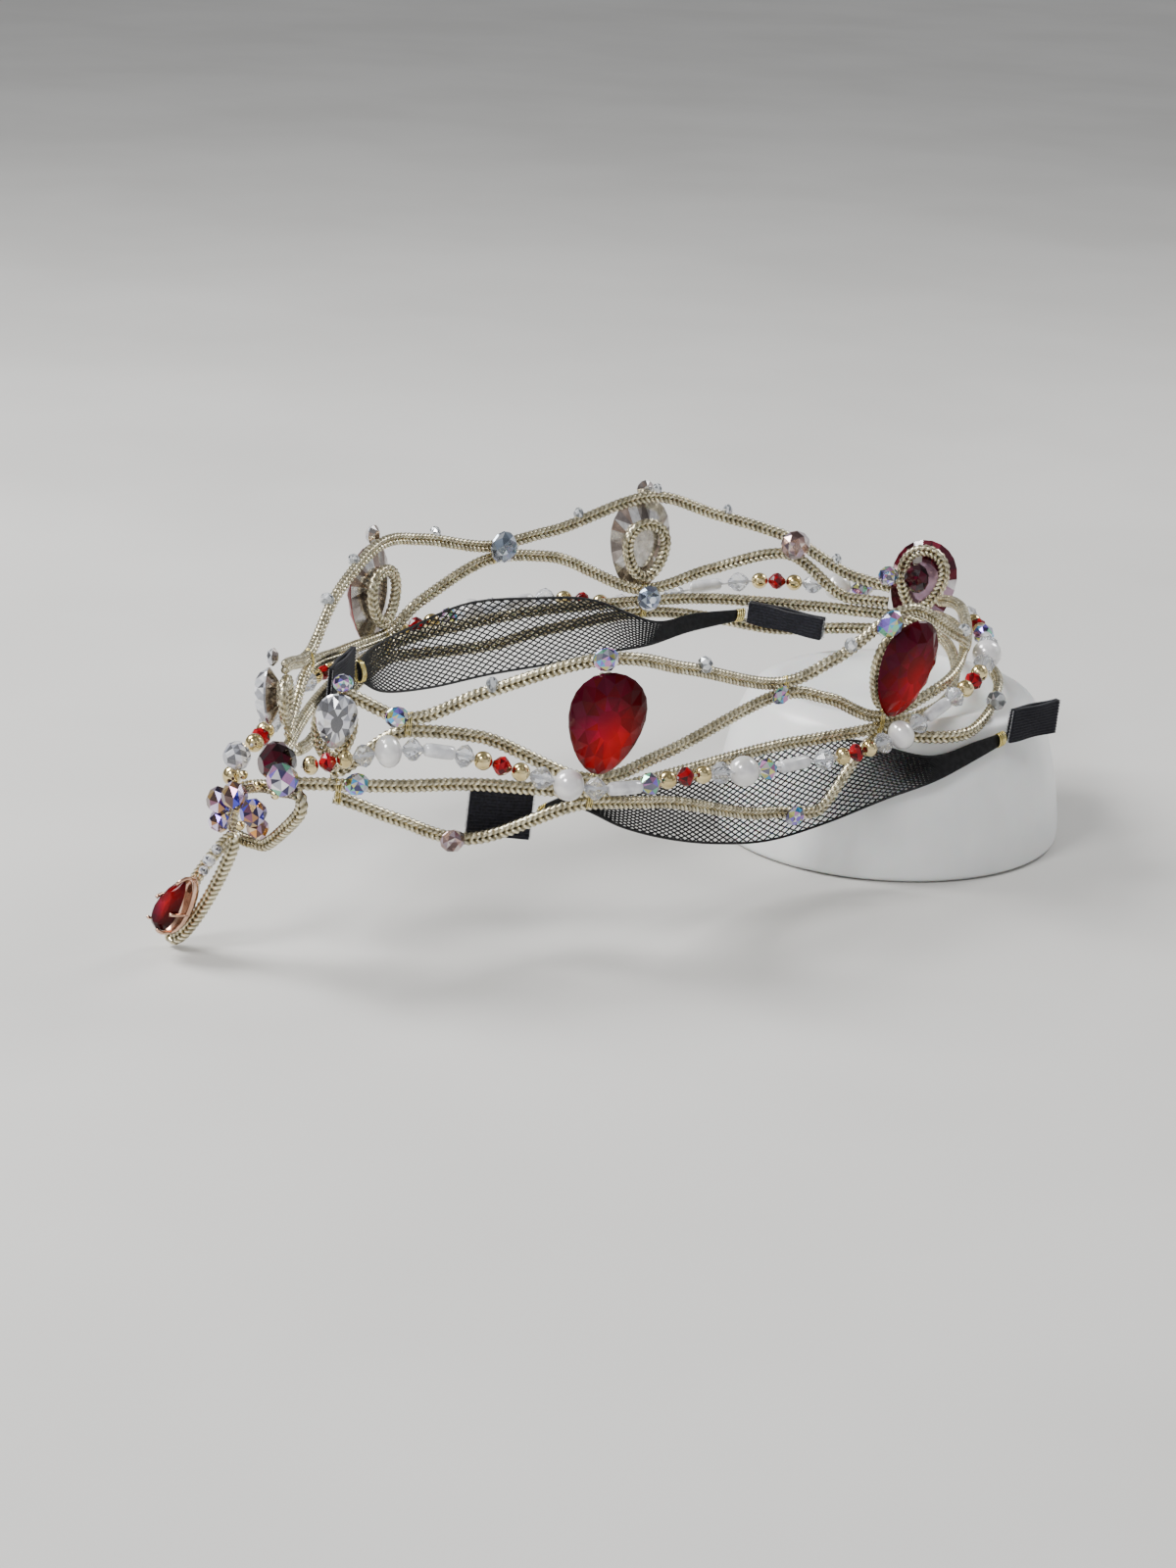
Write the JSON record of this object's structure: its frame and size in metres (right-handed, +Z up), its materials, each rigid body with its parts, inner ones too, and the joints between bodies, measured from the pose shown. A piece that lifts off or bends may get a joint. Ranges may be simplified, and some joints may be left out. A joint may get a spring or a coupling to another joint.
{
  "type": "ballet tiara on upturned bowl stand",
  "caption": "Open cord-and-wire ballet tiara with pear stones, bead strings, a forehead drop and net bands with ribbon tabs, resting on an upturned bowl",
  "frame": {"origin": "centre of the bounding box in plan, at the height of the surface that the bowl stands on", "axes": "-Y is the tiara's front, where the forehead drop hangs; +Z is up; the ring is long along Y"},
  "size_m": [0.1265, 0.2491, 0.0812],
  "materials": {
    "amber": "polished, faceted",
    "aurora": "faceted with a rainbow coating",
    "beads": "pearl lustre",
    "blush": "polished, faceted",
    "bowl": "satin",
    "cord": "metallic braid",
    "crystal": "polished, faceted",
    "garnet": "polished, faceted",
    "gold": "polished",
    "net": "open crinoline weave",
    "red": "polished, foil backed",
    "ribbon": "ribbed grosgrain",
    "rose_gold": "polished",
    "smoke": "polished, faceted"
  },
  "bodies": {
    "root": {"base_band": "cord", "bead_string_far": "beads", "bead_string_near": "beads", "bowl": "bowl", "brow_loop": "cord", "brow_stone_near": "aurora", "clear_pear_far": "crystal", "clear_pear_near": "crystal", "cluster_amber": "amber", "cluster_aurora_far": "aurora", "cluster_aurora_mid": "aurora", "cluster_aurora_near": "aurora", "cluster_crystal_far": "crystal", "cluster_crystal_near": "aurora", "cluster_gold": "gold", "cluster_violet": "aurora", "crest_stone_far": "crystal", "crest_stone_near": "aurora", "drop_loop": "cord", "drop_setting": "rose_gold", "drop_stone": "red", "front_loop_far": "cord", "front_loop_near": "cord", "garnet_stone": "garnet", "hem_stone_1": "blush", "hem_stone_2": "aurora", "inside_crystal_3": "aurora", "inside_stone_3": "garnet", "inside_stone_4": "smoke", "lower_wave_far": "cord", "lower_wave_near": "cord", "middle_wave_far": "cord", "middle_wave_near": "cord", "net_band_far": "net", "net_band_near": "net", "peak_stone_1": "aurora", "peak_stone_2": "aurora", "peak_stone_4": "crystal", "peak_stone_5": "crystal", "pear_loop_1": "cord", "pear_loop_2": "cord", "pear_loop_3": "cord", "pear_loop_4": "cord", "pear_loop_5": "cord", "red_pear_1": "red", "red_pear_2": "red", "red_pear_3": "red", "red_pear_4": "red", "red_pear_5": "red", "ribbon_tab_far_back": "ribbon", "ribbon_tab_far_front": "ribbon", "ribbon_tab_near_back": "ribbon", "ribbon_tab_near_front": "ribbon", "upper_wave_far": "cord", "upper_wave_near": "cord", "valley_stone_1": "aurora", "valley_stone_2": "aurora", "valley_stone_4": "blush", "valley_stone_5": "smoke"}
  },
  "joints": []
}
